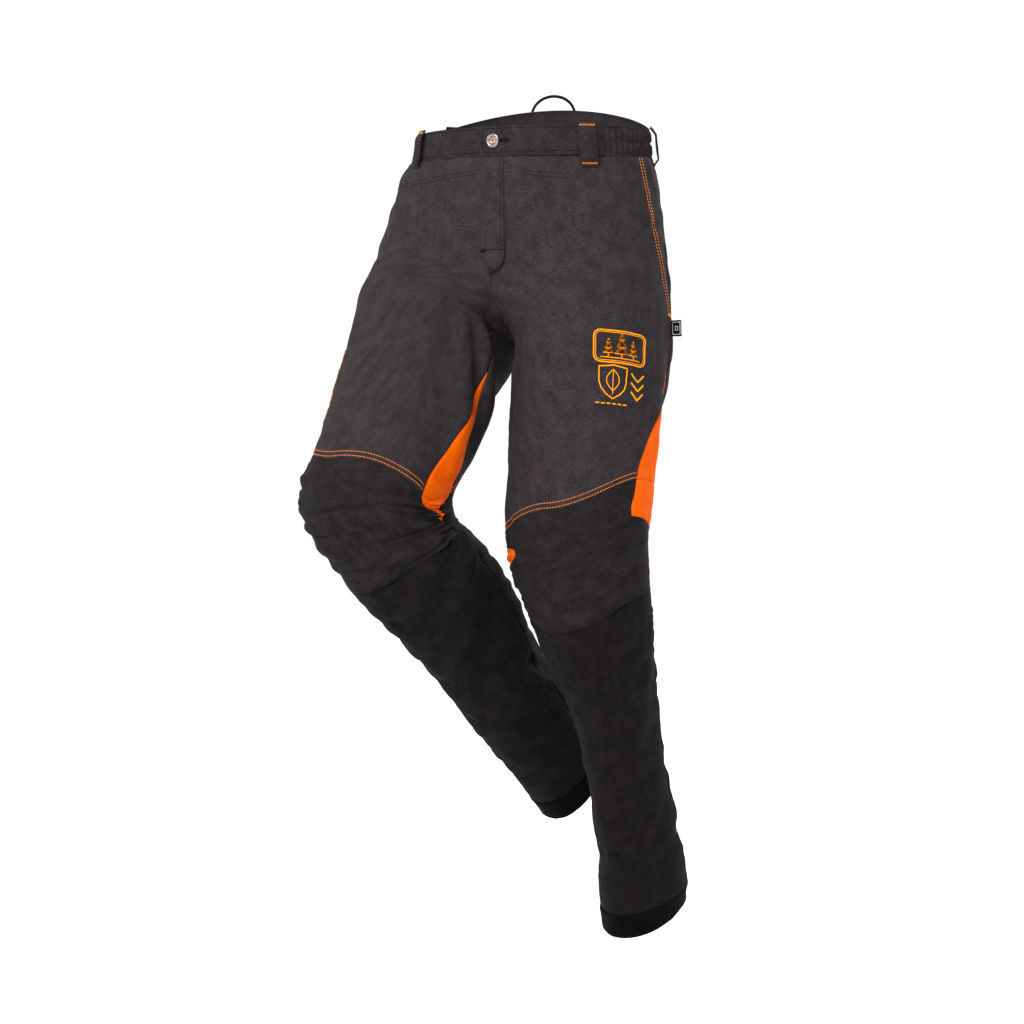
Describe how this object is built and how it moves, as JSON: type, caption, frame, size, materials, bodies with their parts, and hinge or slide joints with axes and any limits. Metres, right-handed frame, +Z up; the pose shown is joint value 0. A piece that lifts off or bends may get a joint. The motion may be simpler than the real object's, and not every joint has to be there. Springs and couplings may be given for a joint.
{
  "type": "chainsaw protective trousers",
  "caption": "Padded forestry trousers in a striding pose, with elasticated sides, zip fly, belt loops, side pockets, contrast vents and darker knees and shins.",
  "frame": {"origin": "centre of the waist, level with the top edge of the front waistband", "axes": "+Z up along the wearer's trunk, -Y to the wearer's front, +X to the wearer's left"},
  "size_m": [0.4136, 0.4571, 1.1297],
  "materials": {
    "shell_cloth": "matte",
    "knee_cloth": "matte",
    "band_cloth": "matte",
    "vent_cloth": "matte",
    "elastic_tape": "matte",
    "pocketing": "matte",
    "lining": "matte",
    "protective_pad": "matte",
    "embroidery": "satin",
    "label": "matte",
    "zip_tape": "matte",
    "zip_metal": "satin",
    "button_metal": "satin"
  },
  "bodies": {
    "waist": {"waistband_front_right": "shell_cloth", "waistband_front_left": "shell_cloth", "waistband_side_right": "band_cloth", "waistband_side_left": "band_cloth", "waistband_back": "shell_cloth", "waistband_underlap": "shell_cloth", "elastic_right": "elastic_tape", "elastic_left": "elastic_tape", "front_panel_right": "shell_cloth", "front_panel_left": "shell_cloth", "seat_panel_right": "shell_cloth", "seat_panel_left": "shell_cloth", "back_yoke": "shell_cloth", "fly_shield": "shell_cloth", "zip_tape_right": "zip_tape", "zip_tape_left": "zip_tape", "zip_teeth": "zip_metal", "zip_stops": "zip_metal", "button_tack": "zip_metal", "pocket_bag_right": "pocketing", "pocket_bag_left": "pocketing", "belt_loop_front_right": "band_cloth", "belt_loop_front_left": "band_cloth", "belt_loop_hip_right": "band_cloth", "belt_loop_hip_left": "band_cloth", "hanger_loop": "band_cloth", "back_pocket": "shell_cloth", "hip_fold_right": "shell_cloth", "hip_fold_left": "shell_cloth"},
    "fly_flap": {"fly_flap": "shell_cloth"},
    "zip_slider": {"zip_slider": "zip_metal", "zip_pull": "zip_metal"},
    "waist_button": {"waist_button": "button_metal"},
    "back_pocket_flap": {"back_pocket_flap": "shell_cloth"},
    "thigh_right": {"thigh_front_right": "shell_cloth", "thigh_back_right": "shell_cloth", "vent_outer_right": "vent_cloth", "vent_inner_right": "vent_cloth", "thigh_pad_right": "protective_pad", "thigh_lining_right": "lining", "knee_panel_right": "knee_cloth", "knee_back_right": "knee_cloth"},
    "shin_right": {"shin_front_right": "knee_cloth", "shin_back_right": "knee_cloth", "shin_pad_right": "protective_pad", "hem_cuff_right": "knee_cloth"},
    "thigh_left": {"thigh_front_left": "shell_cloth", "thigh_back_left": "shell_cloth", "vent_outer_left": "vent_cloth", "vent_inner_left": "vent_cloth", "thigh_pad_left": "protective_pad", "thigh_lining_left": "lining", "knee_panel_left": "knee_cloth", "knee_back_left": "knee_cloth", "side_label": "label", "thigh_badge": "embroidery"},
    "shin_left": {"shin_front_left": "knee_cloth", "shin_back_left": "knee_cloth", "shin_pad_left": "protective_pad", "hem_cuff_left": "knee_cloth"}
  },
  "joints": [
    {"name": "hip_right", "type": "hinge", "parent": "waist", "child": "thigh_right", "pos_m": [-0.097, -0.005, -0.15], "axis": [-1, 0, 0], "range_deg": [-45, 25], "deforming": ["hip_fold_right"]},
    {"name": "hip_left", "type": "hinge", "parent": "waist", "child": "thigh_left", "pos_m": [0.085, 0, -0.15], "axis": [-1, 0, 0], "range_deg": [-19, 40], "deforming": ["hip_fold_left"]},
    {"name": "knee_right", "type": "hinge", "parent": "thigh_right", "child": "shin_right", "pos_m": [-0.098, -0.236, -0.503], "axis": [0.9763, -0.1825, 0.1167], "range_deg": [-72, 32], "deforming": ["knee_panel_right", "knee_back_right"]},
    {"name": "knee_left", "type": "hinge", "parent": "thigh_left", "child": "shin_left", "pos_m": [0.121, -0.094, -0.574], "axis": [0.9958, 0.0576, 0.0718], "range_deg": [-25, 65], "deforming": ["knee_panel_left", "knee_back_left"]},
    {"name": "zip_travel", "type": "slide", "parent": "waist", "child": "zip_slider", "axis": [0, 0, -1], "range_m": [0, 0.104]},
    {"name": "fly_flap_hinge", "type": "hinge", "parent": "waist", "child": "fly_flap", "pos_m": [0.0265, -0.1225, -0.11], "axis": [0, 0, 1], "range_deg": [0, 105]},
    {"name": "button_turn", "type": "hinge", "parent": "waist", "child": "waist_button", "pos_m": [0.009, -0.12, -0.019], "axis": [0, -1, 0], "continuous": true},
    {"name": "pocket_flap_hinge", "type": "hinge", "parent": "waist", "child": "back_pocket_flap", "pos_m": [-0.1127, 0.09583, -0.028], "axis": [0.8287, 0.5597, 0], "range_deg": [0, 88]}
  ]
}
